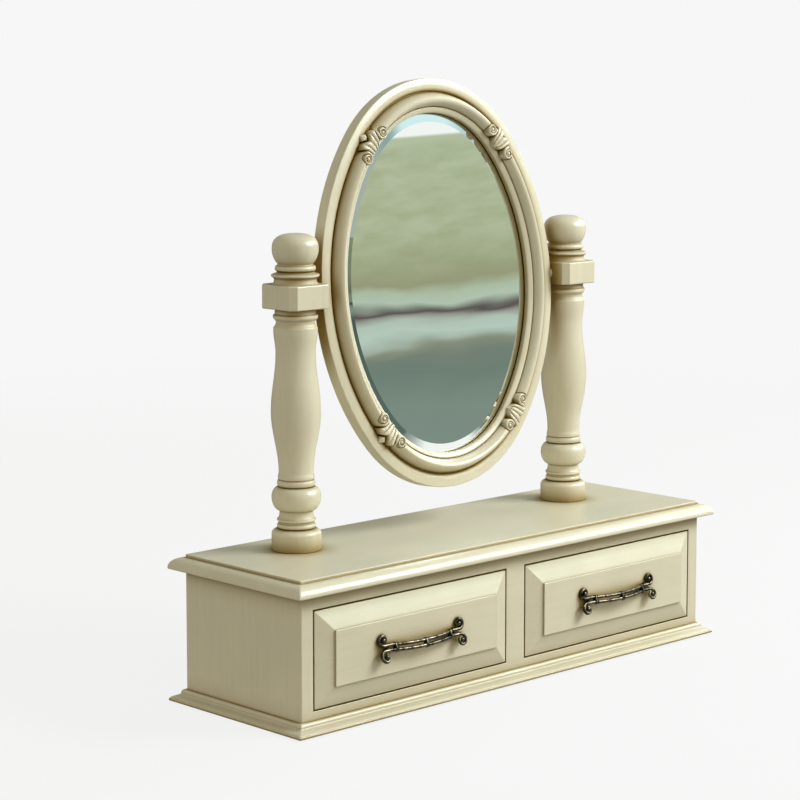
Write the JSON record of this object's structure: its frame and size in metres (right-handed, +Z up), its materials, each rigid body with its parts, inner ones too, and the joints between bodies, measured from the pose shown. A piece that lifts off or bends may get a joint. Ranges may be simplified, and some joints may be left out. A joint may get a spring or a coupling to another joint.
{
  "type": "dressing table mirror",
  "caption": "Table-top dressing mirror: an oval bevelled mirror that tilts between two turned posts, on a low moulded case with drawers that slide out.",
  "frame": {"origin": "middle of the case's footprint, at the underside of the felt pads that it stands on", "axes": "+X to the right, +Y from the drawer fronts to the back, +Z up"},
  "size_m": [0.648, 0.219, 0.6516],
  "materials": {
    "ivory_paint": "satin ivory paint over wood, slightly darker in the creases",
    "bare_wood": "sealed bare softwood and board",
    "mirror_glass": "silvered glass with a bevelled edge",
    "aged_bronze": "dark antique bronze, rubbed bright on the high points",
    "steel": "zinc-plated steel",
    "brass": "plain brass",
    "nylon": "natural nylon",
    "felt": "dark felt"
  },
  "bodies": {
    "case": {"base_board": "ivory_paint", "top_board": "ivory_paint", "side_left": "ivory_paint", "side_right": "ivory_paint", "back_panel": "bare_wood", "top_rail": "ivory_paint", "bottom_rail": "ivory_paint", "muntin": "ivory_paint", "centre_partition": "bare_wood", "drawer_runners": "bare_wood", "drawer_kickers": "bare_wood", "drawer_stops": "bare_wood", "base_screws": "steel", "back_panel_screws": "steel", "felt_pads": "felt", "post_left": "ivory_paint", "post_right": "ivory_paint", "post_bolts": "steel", "post_washers": "steel", "pivot_bushes": "brass"},
    "mirror": {"mirror_frame": "ivory_paint", "mirror_glass": "mirror_glass", "backing_board": "bare_wood", "retaining_clips": "brass", "clip_screws": "steel", "ornament_top_left": "ivory_paint", "ornament_top_right": "ivory_paint", "ornament_bottom_left": "ivory_paint", "ornament_bottom_right": "ivory_paint", "pivot_pins": "steel", "pivot_washers": "nylon"},
    "drawer_left": {"drawer_left_front": "ivory_paint", "drawer_left_inner_side": "bare_wood", "drawer_left_outer_side": "bare_wood", "drawer_left_back": "bare_wood", "drawer_left_bottom": "bare_wood", "drawer_left_handle": "aged_bronze", "drawer_left_handle_screws": "steel"},
    "drawer_right": {"drawer_right_front": "ivory_paint", "drawer_right_inner_side": "bare_wood", "drawer_right_outer_side": "bare_wood", "drawer_right_back": "bare_wood", "drawer_right_bottom": "bare_wood", "drawer_right_handle": "aged_bronze", "drawer_right_handle_screws": "steel"}
  },
  "joints": [
    {"name": "mirror_tilt", "type": "hinge", "parent": "case", "child": "mirror", "pos_m": [0, 0.03, 0.4265], "axis": [1, 0, 0], "continuous": true},
    {"name": "drawer_left_slide", "type": "slide", "parent": "case", "child": "drawer_left", "axis": [0, -1, 0], "range_m": [0, 0.11]},
    {"name": "drawer_right_slide", "type": "slide", "parent": "case", "child": "drawer_right", "axis": [0, -1, 0], "range_m": [0, 0.11]}
  ]
}
